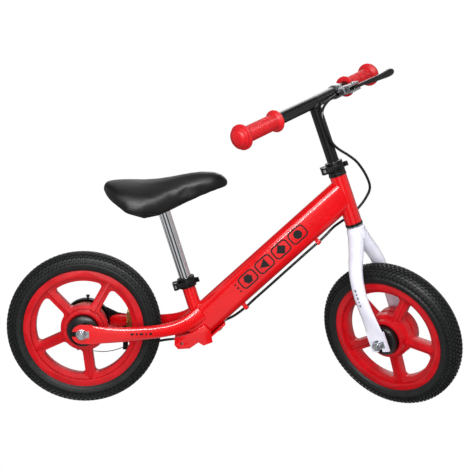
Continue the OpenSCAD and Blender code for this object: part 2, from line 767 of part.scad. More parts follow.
// ---------- Handlebar ----------

sweep_angle = 2;
module bar_side(side) translate([0, 0, bar_s]) rotate([0, 0, side * sweep_angle]) rotate([-90 * side, 0, 0]) children();

module handlebar() color(black)
  steering_frame() difference() {
    union() {
      translate([0, 0, stem_low]) cylinder(d = bar_d, h = bar_s - stem_low);
      for (side = [-1, 1]) bar_side(side) cylinder(d = bar_d, h = bar_half + 4);
    }
    translate([0, 0, stem_low - 1]) cylinder(d = bar_d - 3.2, h = bar_s - stem_low - 10);
    for (side = [-1, 1]) bar_side(side) translate([0, 0, 14]) cylinder(d = bar_d - 3.2, h = bar_half);
  }

module grip() {
  inner_end = bar_half - grip_len;
  rotate_extrude() polygon([
    [bar_d / 2, inner_end], [20, inner_end], [20, inner_end + 3], [grip_d / 2 + 1.5, inner_end + 5],
    [grip_d / 2, inner_end + 9], [grip_d / 2, bar_half - 6], [grip_d / 2 + 1.5, bar_half - 3],
    [22.5, bar_half - 1.5], [22.5, bar_half + 3.5], [19.5, bar_half + 5.5], [19.5, bar_half + 9],
    [15, bar_half + 13], [8, bar_half + 15.5], [0, bar_half + 16], [0, bar_half + 4],
    [bar_d / 2, bar_half + 4]]);
}
module grip_right() color(red) steering_frame() bar_side(-1) grip();
module grip_left() color(red) steering_frame() bar_side(1) grip();

// Lever bracket: a band round the bar, two plates that hold the pivot, and a lug for the barrel.
band_from = 74;
band_w = 16;
plate_from = 76;
plate_to = 112;
pivot_t = 27;
pivot_y = 100;
lever_ds = -2.9;
plate_half = 3.9;
lever_plate_t = 4.1;
lug_t = 17;
module lever_bracket() color(chrome)
  steering_frame() difference() {
    union() {
      bar_side(1) ring(bar_d / 2 + 2.5, bar_d / 2, band_from, band_from + band_w);
      for (ds = [plate_half, -plate_half - lever_plate_t])
        translate([4, plate_from, bar_s + lever_ds + ds]) cube([pivot_t + 2, plate_to - plate_from, lever_plate_t]);
      translate([12.5, band_from - 6, bar_s + lever_ds - plate_half - lever_plate_t])
        cube([2.5, plate_to - band_from + 6, 2 * (plate_half + lever_plate_t)]);
      translate([12.5, band_from - 6, bar_s + lever_ds - 6]) cube([12, 5, 12]);
    }
    bar_side(1) cylinder(d = bar_d, h = 200);
    translate([pivot_t, pivot_y, bar_s - 30]) cylinder(r = pin_r, h = 60);
    translate([lug_t + 1.5, band_from - 20, bar_s + lever_ds]) rotate([-90, 0, 0]) cylinder(d = 6, h = 20);
  }

module lever_pivot() color(chrome)
  steering_frame() translate([pivot_t, pivot_y, bar_s + lever_ds]) {
    cylinder(r = pin_r, h = 2 * (plate_half + lever_plate_t + 0.2), center = true);
    translate([0, 0, plate_half + lever_plate_t + 0.2]) cylinder(r = 3.6, h = 2);
  }

// Lever blade: [forward, left, height] of its centre line, with its width.
lever_route = [
  [pivot_t, pivot_y - 8, bar_s + lever_ds], [pivot_t + 1, pivot_y, bar_s + lever_ds],
  [pivot_t + 6, pivot_y + 16, bar_s + lever_ds], [pivot_t + 13, pivot_y + 38, bar_s + lever_ds - 1],
  [pivot_t + 20, pivot_y + 64, bar_s + lever_ds - 1.5], [pivot_t + 25, pivot_y + 86, bar_s + lever_ds - 1],
  [pivot_t + 29, pivot_y + 100, bar_s + lever_ds]
];
lever_widths = [12, 13, 12, 12, 12, 15, 12];
lever_thick = [5.6, 6, 7, 10, 11.5, 14, 10];
module brake_lever() color(black)
  steering_frame() difference() {
    loft([for (i = [len(lever_route) - 1:-1:0])
      path_ring(lever_route[i], -heading(lever_route, i), lever_widths[i], lever_thick[i], 16, [1, 0, 0])]);
    translate([pivot_t, pivot_y, bar_s - 30]) cylinder(r = pin_r + run_gap, h = 60);
  }

module barrel_adjuster() color(black)
  steering_frame() translate([lug_t + 1.5, 0, bar_s + lever_ds]) rotate([-90, 0, 0])
    difference() {
      union() {
        translate([0, 0, 53]) cylinder(d = 8.4, h = band_from - 6 - 53 - 0.2);
        translate([0, 0, 60]) cylinder(d = 6, h = 13);
      }
      translate([0, 0, 40]) cylinder(d = 2, h = 60);
    }

// ---------- Seat ----------

module seat_post() color(chrome)
  seat_frame() translate([0, 0, post_low]) tube(post_d, post_d - 3.2, post_top - post_low);

module saddle_frame() seat_frame() translate([0, 0, saddle_clamp_u]) rotate([0, 90 - seat_angle, 0]) children();

rail_d = 7;
clamp_half = post_d / 2 + 4.4;
rail_y = clamp_half + 4.5;

module saddle_clamp() color(black)
  difference() {
    union() {
      seat_frame() translate([0, 0, saddle_clamp_u - 8]) cylinder(d = post_d + 8, h = 14);
      saddle_frame() translate([0, 0, 6]) rotate([90, 0, 0]) cylinder(r = 11, h = 2 * clamp_half, center = true);
    }
    seat_frame() translate([0, 0, saddle_clamp_u - 40]) cylinder(d = post_d, h = post_top - saddle_clamp_u + 40);
    saddle_frame() translate([0, 0, 6]) rotate([90, 0, 0]) cylinder(d = 8.1, h = 80, center = true);
  }

// Cross bolt with grooved washers that grip the rails.
module saddle_clamp_bolt() color(chrome)
  difference() {
    saddle_frame() translate([0, 0, 6]) rotate([90, 0, 0]) {
      cylinder(d = 8, h = 62, center = true);
      for (side = [-1, 1]) on_side(side) {
        ring(12.5, 4, clamp_half + 0.3, rail_y + 5);
        hexagon_nut(13, 8, rail_y + 5, rail_y + 11);
      }
    }
    rails(rail_d + 0.1);
  }

// From here x is forward of the clamp and z above it, whatever the seat tube's slope.
module saddle_place()
  place() translate([seat_foot_x - saddle_clamp_z / tan(seat_angle), 0, saddle_clamp_z]) children();

module rails(d)
  saddle_place() for (side = [-1, 1])
    cable([[-69, side * 30, 28], [-55, side * 25, 19], [-33, side * rail_y, 14.5], [-11, side * rail_y, 14],
           [17, side * rail_y, 14], [39, side * 17, 21], [59, side * 12, 36], [77, side * 8, 50]],
          d, 3);

function saddle_ring(x, half, top, edge, shrink) =
  let(w = max(5 - shrink / 4, half - shrink), h = max(3 - shrink / 8, top - edge - shrink))
  concat(
    [for (a = [90:-15:-90]) [x, w * sin(a), edge + h * pow(cos(a), 0.75)]],
    [for (k = [-0.6, -0.2, 0.2, 0.6]) [x, w * k, edge]]);

module saddle_skin(shrink, x0, x1)
  loft([for (s = saddle_sections)
    saddle_ring(x0 + (s[0] - saddle_back) * (x1 - x0) / (saddle_nose - saddle_back), s[1], s[2], s[3], shrink)]);

module saddle_cover() color(black)
  saddle_place() difference() {
    saddle_skin(0, saddle_back, saddle_nose + 2);
    translate([0, 0, -1]) saddle_skin(9, saddle_back + 8, saddle_nose - 6);
  }
module saddle_pan() color(black)
  difference() {
    saddle_place() translate([0, 0, -1]) saddle_skin(9.4, saddle_back + 8.5, saddle_nose - 6.5);
    saddle_place() translate([0, 0, -2]) saddle_skin(12.5, saddle_back + 14, saddle_nose - 12);
    rails(rail_d);
  }

module saddle_rails() color(chrome) rails(rail_d);

main_tube();
head_tube();
seat_tube();
chainstay_right();
chainstay_left();
footrest_bracket();
bracket_bolt();
cable_guides();
upper_cup();
lower_cup();
headset_balls();
seat_clamp_collar();
seat_clamp_bolt();
rear_axle();
rear_nuts();
rear_washers();
brake_back_plate();
brake_band();
brake_lining();
brake_adjuster();
brake_spring();
torque_strap();
cable_stop();
lower_housing();
inner_wire();
brake_arm();
wire_anchor();
rear_rim();
rear_tyre();
rear_hub_caps();
rear_bearings();
brake_drum();
front_rim();
front_tyre();
front_hub_caps();
front_bearings();
fork();
crown_race();
adjusting_cone();
front_axle();
front_nuts();
front_washers();
bar_clamp_collar();
bar_clamp_bolt();
handlebar();
grip_right();
grip_left();
lever_bracket();
lever_pivot();
barrel_adjuster();
upper_housing();
brake_lever();
seat_post();
saddle_clamp();
saddle_clamp_bolt();
saddle_pan();
saddle_cover();
saddle_rails();
seat_clamp_lever();
bar_clamp_lever();
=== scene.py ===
"""Balance bike with a hand-operated rear band brake: finishes, detailed pieces, studio and camera."""
import json
import math

import bmesh
import bpy
from mathutils import Matrix, Vector


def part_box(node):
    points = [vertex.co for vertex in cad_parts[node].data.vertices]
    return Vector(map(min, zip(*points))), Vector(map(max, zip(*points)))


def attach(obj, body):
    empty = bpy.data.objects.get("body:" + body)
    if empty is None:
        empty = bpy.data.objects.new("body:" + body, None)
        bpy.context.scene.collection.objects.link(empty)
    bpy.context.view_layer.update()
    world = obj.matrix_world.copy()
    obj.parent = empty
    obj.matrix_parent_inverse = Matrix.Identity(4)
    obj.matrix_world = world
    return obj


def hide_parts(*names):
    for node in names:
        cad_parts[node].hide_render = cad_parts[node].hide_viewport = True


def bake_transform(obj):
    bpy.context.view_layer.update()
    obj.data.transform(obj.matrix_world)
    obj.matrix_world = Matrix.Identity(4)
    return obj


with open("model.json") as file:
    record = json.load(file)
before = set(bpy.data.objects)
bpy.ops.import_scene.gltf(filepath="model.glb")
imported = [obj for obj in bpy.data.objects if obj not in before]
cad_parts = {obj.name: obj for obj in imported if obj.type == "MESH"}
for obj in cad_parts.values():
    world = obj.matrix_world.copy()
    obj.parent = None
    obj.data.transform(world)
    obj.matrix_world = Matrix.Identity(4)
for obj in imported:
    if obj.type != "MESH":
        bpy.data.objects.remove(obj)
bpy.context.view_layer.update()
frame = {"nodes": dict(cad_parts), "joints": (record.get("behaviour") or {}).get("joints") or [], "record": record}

MM = 0.001
scene = bpy.context.scene
nodes = frame["nodes"]
joints = {joint["name"]: joint for joint in frame["joints"]}

# ---------- Camera ----------

AIM = Vector((0.002, 0.0, 0.3256))
AZIMUTH = math.radians(-2.89)
ELEVATION = math.radians(10.68)
ROLL = math.radians(1.9)
DISTANCE = 1.838
LENS_MM = 74.59


def place_camera():
    """A long lens a little above the axles, on the bike's right."""
    back = Vector((math.sin(AZIMUTH) * math.cos(ELEVATION), -math.cos(AZIMUTH) * math.cos(ELEVATION),
                   math.sin(ELEVATION)))
    level = Vector((math.cos(AZIMUTH), math.sin(AZIMUTH), 0))
    upright = back.cross(level)
    across = level * math.cos(ROLL) + upright * math.sin(ROLL)
    up = upright * math.cos(ROLL) - level * math.sin(ROLL)
    camera = bpy.data.objects.new("camera", bpy.data.cameras.new("camera"))
    camera.data.lens = LENS_MM
    camera.matrix_world = Matrix.Translation(AIM + back * DISTANCE) @ Matrix(
        (across, up, back)).transposed().to_4x4()
    scene.collection.objects.link(camera)
    scene.camera = camera


place_camera()

# ---------- Places on the bike, taken from the joints and the nodes ----------


def axis_frame(origin, z_axis, x_hint):
    """A local frame at origin whose z runs along z_axis and whose x leans towards x_hint."""
    z = Vector(z_axis).normalized()
    x = Vector(x_hint)
    x = (x - z * x.dot(z)).normalized()
    placed = Matrix((x, z.cross(x), z)).transposed().to_4x4()
    placed.translation = Vector(origin)
    return placed


def middle(node):
    """The middle of a node's box."""
    low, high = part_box(node)
    return (low + high) / 2


FORWARD = Vector((1, 0, 0))
RIGHT = Vector((0, -1, 0))
steer_axis = Vector(joints["steering_turn"]["axis"])
steer_point = Vector(joints["steering_turn"]["pos_m"])
steer_foot = steer_point - steer_axis * (steer_point.z / steer_axis.z)
front_axle_left = Vector(joints["front_wheel_spin"]["axis"])
front_forward = steer_axis.cross(-front_axle_left)
front_hub = Vector(joints["front_wheel_spin"]["pos_m"])
rear_hub = Vector(joints["rear_wheel_spin"]["pos_m"])

# Steering frame: z up the steering axis from the floor, x forward, y to the left, after the turn.
STEERING = axis_frame(steer_foot, steer_axis, front_forward)
# Wheel frames: z along the axle to the bike's right, y up.
FRONT_WHEEL = axis_frame(front_hub, -front_axle_left, front_forward)
REAR_WHEEL = axis_frame(rear_hub, RIGHT, FORWARD)

# Main tube frame: z down the tube from where its centre line meets the steering axis,
# x out of its underside.
MAIN_SLOPE = math.radians(44.1)
MAIN_TOP_S = 0.443
MAIN = axis_frame(steer_foot + steer_axis * MAIN_TOP_S,
                  (-math.cos(MAIN_SLOPE), 0, -math.sin(MAIN_SLOPE)), (1, 0, -1))
MAIN_DEPTH = 0.060
MAIN_WIDTH = 0.034

# Seat tube frame: z up the tube from the floor, x forward.
seat_axis = Vector([-value for value in joints["seat_clamp_open"]["axis"]])
seat_middle = middle("seat_post")
seat_foot = seat_middle - seat_axis * (seat_middle.z / seat_axis.z)
SEAT = axis_frame(seat_foot, seat_axis, FORWARD)
SEAT_TUBE_R = 12.7 * MM

# Bike frame: on the floor under the rear axle, x forward, y to the left, z up.
BIKE = Matrix.Translation((rear_hub.x, 0, 0))

# Crossbar: its height up the steering axis, half its length and its radius.
BAR_S = (STEERING.inverted() @ middle("grip_right")).z
BAR_HALF = 212 * MM
BAR_R = 11.1 * MM

# ---------- Finishes ----------


def hex_colour(code):
    """An sRGB hex colour as linear red, green, blue and alpha."""
    channels = [int(code[i:i + 2], 16) / 255 for i in (1, 3, 5)]
    return [c / 12.92 if c <= 0.04045 else ((c + 0.055) / 1.055) ** 2.4 for c in channels] + [1.0]


def add_node(tree, kind, values=(), links=(), **settings):
    """Add a node, set its own settings and its sockets' values, and link its inputs."""
    node = tree.nodes.new(kind)
    for name, value in settings.items():
        setattr(node, name, value)
    for socket, value in dict(values).items():
        node.inputs[socket].default_value = value
    for socket, source in dict(links).items():
        tree.links.new(source, node.inputs[socket])
    return node


def per_mm(size_mm):
    """Texture scale at which one cell of a pattern is size_mm across, in metre coordinates."""
    return 1 / (size_mm * MM)


def new_finish(name, colour, shade, roughness, spread=0.08, cloud_mm=30, grain_mm=1.2,
               grain_depth_mm=0.02, **shader):
    """A finish whose colour drifts softly between two tones and whose grain lifts the surface a little."""
    material = bpy.data.materials.new(name)
    material.use_nodes = True
    tree = material.node_tree
    tree.nodes.clear()
    surface = add_node(tree, "ShaderNodeBsdfPrincipled",
                       {key.replace("_", " ").title().replace("Ior", "IOR"): value
                        for key, value in shader.items()})
    add_node(tree, "ShaderNodeOutputMaterial", links={"Surface": surface.outputs["BSDF"]})
    place = add_node(tree, "ShaderNodeTexCoord").outputs["Object"]
    cloud = add_node(tree, "ShaderNodeTexNoise",
                     {"Scale": per_mm(cloud_mm), "Detail": 4.0, "Roughness": 0.6},
                     {"Vector": place}).outputs["Fac"]
    drift = add_node(tree, "ShaderNodeMapRange", {"From Min": 0.35, "From Max": 0.65}, {"Value": cloud})
    tone = add_node(tree, "ShaderNodeMix", {"A": hex_colour(shade), "B": hex_colour(colour)},
                    {"Factor": drift.outputs["Result"]}, data_type="RGBA")
    tree.links.new(tone.outputs["Result"], surface.inputs["Base Color"])
    matte = add_node(tree, "ShaderNodeMapRange",
                     {"From Min": 0.3, "From Max": 0.7, "To Min": max(0.02, roughness - spread / 2),
                      "To Max": roughness + spread / 2}, {"Value": cloud})
    tree.links.new(matte.outputs["Result"], surface.inputs["Roughness"])
    grain = add_node(tree, "ShaderNodeTexNoise", {"Scale": per_mm(grain_mm), "Detail": 3.0},
                     {"Vector": place})
    bump = add_node(tree, "ShaderNodeBump", {"Strength": 1.0, "Distance": grain_depth_mm * MM},
                    {"Height": grain.outputs["Fac"]})
    tree.links.new(bump.outputs["Normal"], surface.inputs["Normal"])
    return material


# Powder paint baked on steel tube: deep gloss with a slight orange peel that softens the reflections.
red_powder_paint = new_finish("red_powder_paint", "#d80a12", "#c80810", 0.2, 0.06, 60, 4.0, 0.004,
                              specular_ior_level=0.35, coat_weight=0.45, coat_roughness=0.05)
# Glass-filled nylon, injection moulded: even, waxy red with a fine matt skin.
red_nylon = new_finish("red_moulded_nylon", "#c40c18", "#b00a14", 0.36, 0.1, 25, 0.8, 0.02,
                       specular_ior_level=0.35)
# Soft-touch TPR rubber, moulded: a slightly pink, waxy red that takes broad dull highlights.
red_rubber = new_finish("red_grip_rubber", "#cd0e1a", "#bd0b15", 0.42, 0.12, 12, 0.7, 0.03,
                        specular_ior_level=0.35)
# Closed-cell EVA tyre, moulded: charcoal with a dusty bloom and tiny pores.
eva_foam = new_finish("charcoal_eva_foam", "#1b1c1d", "#131414", 0.5, 0.14, 9, 0.6, 0.05,
                      specular_ior_level=0.3)
# Satin black powder paint on steel tube: near black with a long soft highlight.
black_paint = new_finish("satin_black_paint", "#0c0c0e", "#070708", 0.28, 0.08, 40, 1.6, 0.015,
                         specular_ior_level=0.4)
# Moulded ABS caps and lever: dark, slightly glossy, with a faint spark finish from the tool.
black_abs = new_finish("black_moulded_abs", "#101011", "#0a0a0b", 0.34, 0.1, 15, 0.5, 0.02,
                       specular_ior_level=0.4)
# Black oxide and lacquer on pressed steel: dark grey metal showing through the black.
black_oxide = new_finish("black_oxide_steel", "#18181a", "#0e0e10", 0.34, 0.12, 8, 0.6, 0.02,
                         metallic=0.55)
# Bright zinc plate: pale bluish grey, cloudy, never mirror-like.
zinc_plate = new_finish("bright_zinc_plate", "#c9ccd0", "#a9adb2", 0.3, 0.14, 5, 0.7, 0.02, metallic=1.0)
# Yellow passivated zinc: straw gold with greenish and pinkish drifts.
yellow_zinc = new_finish("yellow_passivated_zinc", "#c9a861", "#a98a55", 0.34, 0.12, 6, 0.7, 0.02,
                         metallic=1.0)
# Nickel-chrome plate on the polished post: hard, dark and bright streaks along the tube.
chrome_plate = new_finish("chrome_plate", "#dfe1e4", "#cfd2d6", 0.09, 0.05, 25, 1.0, 0.003,
                          metallic=1.0)
# Die-cast aluminium lever bracket, tumbled: warm silver with a dull, fine-grained skin.
cast_aluminium = new_finish("cast_aluminium", "#b9bbbe", "#97999c", 0.4, 0.12, 4, 0.7, 0.05,
                            metallic=1.0)
# Cold white enamel with a violet cast, glossy.
white_enamel = new_finish("white_enamel", "#ecebf6", "#dddcec", 0.22, 0.05, 45, 2.5, 0.01,
                          coat_weight=0.6, coat_roughness=0.05)
# PVC-jacketed brake housing: glossy black with a faint wind of the coil inside.
cable_jacket = new_finish("black_pvc_jacket", "#0b0b0c", "#060607", 0.24, 0.08, 10, 1.8, 0.03)
# Moulded polyurethane saddle skin: smooth black with a soft broad shine and a fine leather grain.
saddle_skin = new_finish("black_saddle_skin", "#0e0e0f", "#080809", 0.4, 0.08, 35, 1.1, 0.05,
                         specular_ior_level=0.32)
# Polypropylene saddle base, straight from the mould.
pan_plastic = new_finish("black_polypropylene", "#0d0d0e", "#080809", 0.5, 0.1, 20, 0.8, 0.03,
                         specular_ior_level=0.3)
# Woven brake lining set in resin: rusty brown with paler threads.
brake_lining = new_finish("woven_brake_lining", "#a35f33", "#6b3620", 0.75, 0.2, 2.2, 1.1, 0.15)
# Stranded galvanised wire: dull grey.
wire_steel = new_finish("stranded_wire", "#9a9c9e", "#6d6f72", 0.42, 0.1, 1.5, 0.5, 0.05, metallic=0.9)
# Printed vinyl film, cut and stuck on the paint.
black_film = new_finish("black_vinyl_film", "#070708", "#040405", 0.35, 0.06, 20, 1.5, 0.008)
# Screen-printed ink on the white enamel: flat mid grey.
grey_print = new_finish("grey_print", "#77767f", "#66656d", 0.5, 0.1, 6, 0.8, 0.01)

NODE_FINISH = {
    red_powder_paint: ["main_tube", "head_tube", "seat_tube", "chainstay_right", "chainstay_left",
                       "footrest_bracket", "cable_guides"],
    red_nylon: ["rear_rim", "front_rim"],
    red_rubber: ["grip_right", "grip_left"],
    eva_foam: ["rear_tyre", "front_tyre"],
    black_paint: ["handlebar", "upper_cup", "lower_cup", "adjusting_cone"],
    black_abs: ["rear_hub_caps", "front_hub_caps", "brake_lever"],
    black_oxide: ["seat_clamp_collar", "bar_clamp_collar", "seat_clamp_lever", "bar_clamp_lever",
                  "brake_back_plate", "brake_band", "brake_adjuster", "brake_arm", "cable_stop",
                  "barrel_adjuster", "saddle_clamp"],
    zinc_plate: ["bracket_bolt", "headset_balls", "seat_clamp_bolt", "bar_clamp_bolt", "rear_axle",
                 "rear_nuts", "rear_washers", "front_axle", "front_nuts", "front_washers",
                 "brake_drum", "brake_spring", "wire_anchor", "rear_bearings", "front_bearings",
                 "crown_race", "lever_pivot", "saddle_clamp_bolt", "saddle_rails"],
    yellow_zinc: ["torque_strap"],
    chrome_plate: ["seat_post"],
    cast_aluminium: ["lever_bracket"],
    white_enamel: ["fork"],
    cable_jacket: ["lower_housing", "upper_housing"],
    saddle_skin: ["saddle_cover"],
    pan_plastic: ["saddle_pan"],
    brake_lining: ["brake_lining"],
    wire_steel: ["inner_wire"],
}
finish_of = {name: finish for finish, names in NODE_FINISH.items() for name in names}
for node_name, node_object in nodes.items():
    node_object.data.materials.clear()
    node_object.data.materials.append(finish_of[node_name])

body_of = {name: body for body, names in frame["record"]["behaviour"]["bodies"].items() for name in names}

# ---------- Mesh tools ----------


def add_piece(name, shape, finish, body, stands_for=(), crease=38):
    """Turn a bmesh into a named piece that rides on a body, or on none when no body is given."""
    for face in shape.faces:
        face.smooth = True
    for edge in shape.edges:
        edge.smooth = len(edge.link_faces) == 2 and edge.calc_face_angle() < math.radians(crease)
    mesh = bpy.data.meshes.new(name)
    shape.to_mesh(mesh)
    shape.free()
    piece = bpy.data.objects.new(name, mesh)
    scene.collection.objects.link(piece)
    mesh.materials.append(finish)
    if body:
        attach(piece, body)
    if stands_for:
        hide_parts(*stands_for)
    return piece


def join_shape(whole, part, place=Matrix.Identity(4)):
    """Move a part's bmesh into a whole one, at a place."""
    part.transform(place)
    carrier = bpy.data.meshes.new("carrier")
    part.to_mesh(carrier)
    part.free()
    whole.from_mesh(carrier)
    bpy.data.meshes.remove(carrier)


def close_up(shape, gap=1e-6):
    """Merge what coincides and turn every face outwards."""
    bmesh.ops.remove_doubles(shape, verts=shape.verts, dist=gap)
    bmesh.ops.recalc_face_normals(shape, faces=shape.faces)
    return shape


def turned(outline, steps=96, closed=True):
    """A shape turned about z from an outline of (radius, height) points."""
    shape = bmesh.new()
    points = [shape.verts.new((radius, 0, height)) for radius, height in outline]
    pairs = list(zip(points, points[1:])) + ([(points[-1], points[0])] if closed else [])
    edges = [shape.edges.new(pair) for pair in pairs]
    bmesh.ops.spin(shape, geom=points + edges, cent=(0, 0, 0), axis=(0, 0, 1), dvec=(0, 0, 0),
                   angle=math.tau, steps=steps, use_merge=True, use_duplicate=False)
    return close_up(shape)


def lofted(rings, segments=24):
    """A closed skin over rings, each of them a matrix that places a unit circle."""
    shape = bmesh.new()
    last = None
    ends = []
    for ring in rings:
        made = bmesh.ops.create_circle(shape, cap_ends=False, radius=1.0, segments=segments, matrix=ring)
        loop = list({edge for vert in made["verts"] for edge in vert.link_edges})
        if last:
            bmesh.ops.bridge_loops(shape, edges=last + loop)
        else:
            ends.append(made["verts"])
        last = loop
    ends.append(made["verts"])
    for verts in ends:
        bmesh.ops.contextual_create(shape, geom=verts)
    return close_up(shape)


def smooth_route(points, steps):
    """Points on a smooth curve through the given ones."""
    route = []
    for i in range(len(points) - 1):
        a, b, c, d = (Vector(points[max(0, min(len(points) - 1, i + k))]) for k in (-1, 0, 1, 2))
        for step in range(steps):
            k = step / steps
            route.append(0.5 * (2 * b + (c - a) * k + (2 * a - 5 * b + 4 * c - d) * k * k
                                + (3 * b - a - 3 * c + d) * k ** 3))
    route.append(Vector(points[-1]))
    return route


def rings_along(route, widths, heights, side_hint):
    """Rings across a route, as wide along the side hint and as high the other way as the lists say."""
    rings = []
    for i, point in enumerate(route):
        ahead = (Vector(route[min(i + 1, len(route) - 1)]) - Vector(route[max(i - 1, 0)])).normalized()
        side = Vector(side_hint)
        side = (side - ahead * side.dot(ahead)).normalized()
        ring = Matrix((side * widths[i] / 2, ahead.cross(side) * heights[i] / 2,
                       ahead)).transposed().to_4x4()
        ring.translation = point
        rings.append(ring)
    return rings


def smooth_values(values, steps):
    """Numbers that run smoothly through the given ones, as many as smooth_route gives points."""
    return [point.x for point in smooth_route([(value, 0, 0) for value in values], steps)]


def round_cable(route_mm, diameter, steps, segments=12):
    """A round cable along a route in millimetres on the bike.

    The side hint is a direction that no cable here runs along."""
    route = [BIKE @ (point * MM) for point in smooth_route(route_mm, steps)]
    size = [diameter] * len(route)
    return lofted(rings_along(route, size, size, (0.1, 0.8, 0.6)), segments)


def copy_of(node):
    """A node's shape as one clean bmesh: its loose triangles are merged and its flats are made whole."""
    shape = bmesh.new()
    shape.from_mesh(nodes[node].data)
    bmesh.ops.remove_doubles(shape, verts=shape.verts, dist=2e-6)
    bmesh.ops.dissolve_degenerate(shape, edges=shape.edges, dist=2e-6)
    return shape


def cut_of(node, point, normal, keep_behind):
    """The part of a node's shape on one side of a plane, closed where it is cut."""
    shape = copy_of(node)
    bmesh.ops.bisect_plane(shape, geom=shape.verts[:] + shape.edges[:] + shape.faces[:],
                           plane_co=point, plane_no=normal,
                           clear_inner=not keep_behind, clear_outer=keep_behind)
    bmesh.ops.holes_fill(shape, edges=[e for e in shape.edges if len(e.link_faces) == 1], sides=0)
    return shape


def round_angles(count):
    """Evenly spaced angles once round."""
    return [math.tau * i / count for i in range(count)]


def add_eased(node, radius_mm, crease=38):
    """The node's own shape with every sharp edge eased to a small radius."""
    shape = copy_of(node)
    bmesh.ops.dissolve_limit(shape, angle_limit=math.radians(0.6), verts=shape.verts, edges=shape.edges,
                             use_dissolve_boundaries=False)
    sharp = [e for e in shape.edges
             if len(e.link_faces) == 2 and e.calc_face_angle() > math.radians(crease)]
    bmesh.ops.bevel(shape, geom=sharp, offset=radius_mm * MM, offset_type="OFFSET", affect="EDGES",
                    segments=2, profile=0.5, clamp_overlap=True, material=-1, loop_slide=True)
    add_piece(node + "_eased", shape, finish_of[node], body_of[node], [node])


# ---------- Nodes whose edges are eased as the press, the mould or the file left them ----------

EASED_MM = {
    "rear_rim": 1.2, "front_rim": 1.2, "main_tube": 1.0, "footrest_bracket": 0.5, "bracket_bolt": 0.5,
    "seat_clamp_collar": 0.6, "bar_clamp_collar": 0.6, "seat_clamp_lever": 0.8, "bar_clamp_lever": 0.8,
    "rear_hub_caps": 0.8, "front_hub_caps": 0.8, "brake_back_plate": 0.4, "rear_nuts": 0.6,
    "front_nuts": 0.6, "lever_bracket": 0.5,
}
for node_name, radius in EASED_MM.items():
    add_eased(node_name, radius)

# ---------- Tyres: a smooth sidewall under rows of moulded blocks ----------

SHOULDER_R = 19 * MM
TREAD_DEPTH = 2.8 * MM
TREAD_SINK = 0.2 * MM
TREAD_END = math.radians(86)
SHOULDER_RISE = math.radians(10)
RIDGE = (math.radians(116), math.radians(122))
RIDGE_HEIGHT = 0.5 * MM
BLOCK_COLUMNS = 100
BLOCK_ROWS_MM = (0, 6.2, 12.4, 18.6, 24.8, 30.2)
# A block's share of the pitch round the tyre and its width across it; the outermost row is smaller.
BLOCK_SHARE, BLOCK_WIDTH = 0.62, 4.4 * MM
EDGE_BLOCK_SHARE, EDGE_BLOCK_WIDTH = 0.4, 3.0 * MM
BLOCK_TAPER = 0.82
SIDE_STEPS = 30
TYRE_STEPS = 160


def tyre_section(node, wheel):
    """Outer radius, half width and rim seat radius of a tyre."""
    local = [wheel.inverted() @ vert.co for vert in nodes[node].data.vertices]
    radii = [math.hypot(co.x, co.y) for co in local]
    return max(radii), max(co.z for co in local), min(radii)


def carcass_radius(angle):
    """The carcass lies a tread's depth under the blocks and swells to full size at the sidewall."""
    rise = min(1.0, max(0.0, (angle - TREAD_END) / SHOULDER_RISE))
    ridge = RIDGE_HEIGHT if RIDGE[0] < angle < RIDGE[1] else 0
    return SHOULDER_R - TREAD_DEPTH * (1 - rise) + ridge


def tread_blocks(core_r, core_z, pitch):
    """Tapered blocks round the whole tyre: two columns are drawn and spun."""
    blocks = bmesh.new()
    step = math.tau / BLOCK_COLUMNS
    reach = SHOULDER_R - TREAD_DEPTH / 2
    for column in range(2):
        for i, row in enumerate(BLOCK_ROWS_MM):
            last = i == len(BLOCK_ROWS_MM) - 1
            tilt = max(0.0, row * MM - core_z) / SHOULDER_R
            centre_r = core_r + reach * math.cos(tilt)
            height = min(row * MM, core_z) + reach * math.sin(tilt)
            size = (TREAD_DEPTH + TREAD_SINK, pitch * (EDGE_BLOCK_SHARE if last else BLOCK_SHARE),
                    EDGE_BLOCK_WIDTH if last else BLOCK_WIDTH)
            for mirrored in (1,) if row == 0 else (1, -1):
                place = (Matrix.Rotation((column + 0.5 * (i % 2)) * step, 4, "Z")
                         @ Matrix.Translation((centre_r, 0, mirrored * height))
                         @ Matrix.Rotation(-mirrored * tilt, 4, "Y"))
                made = bmesh.ops.create_cube(blocks, size=1.0, matrix=place @ Matrix.Diagonal((*size, 1)))
                top = [v for v in made["verts"] if (place.inverted() @ v.co).x > 0]
                middle_top = sum((v.co for v in top), Vector()) / len(top)
                bmesh.ops.scale(blocks, vec=[BLOCK_TAPER] * 3, verts=top,
                                space=Matrix.Translation(-middle_top))
    bmesh.ops.spin(blocks, geom=blocks.verts[:] + blocks.edges[:] + blocks.faces[:], cent=(0, 0, 0),
                   axis=(0, 0, 1), dvec=(0, 0, 0), angle=math.tau - 2 * step,
                   steps=BLOCK_COLUMNS // 2 - 1, use_duplicate=True)
    bmesh.ops.recalc_face_normals(blocks, faces=blocks.faces)
    return blocks


def add_tyre(name, node, wheel):
    """The carcass turned about the axle, with the blocks standing on it."""
    outer, half, seat = tyre_section(node, wheel)
    core_r, core_z = outer - SHOULDER_R, half - SHOULDER_R
    seat_angle = math.acos((seat - core_r) / SHOULDER_R)
    arc = [seat_angle * i / SIDE_STEPS for i in range(SIDE_STEPS + 1)]
    side = [(core_r + carcass_radius(a) * math.cos(a), core_z + carcass_radius(a) * math.sin(a))
            for a in arc]
    shape = turned([(r, -h) for r, h in reversed(side)] + side, TYRE_STEPS)
    join_shape(shape, tread_blocks(core_r, core_z, outer * math.tau / BLOCK_COLUMNS))
    shape.transform(wheel)
    add_piece(name, shape, eva_foam, body_of[node], [node], crease=30)


add_tyre("rear_tyre_treaded", "rear_tyre", REAR_WHEEL)
add_tyre("front_tyre_treaded", "front_tyre", FRONT_WHEEL)

# ---------- Fork: two bent blades welded under the steerer ----------

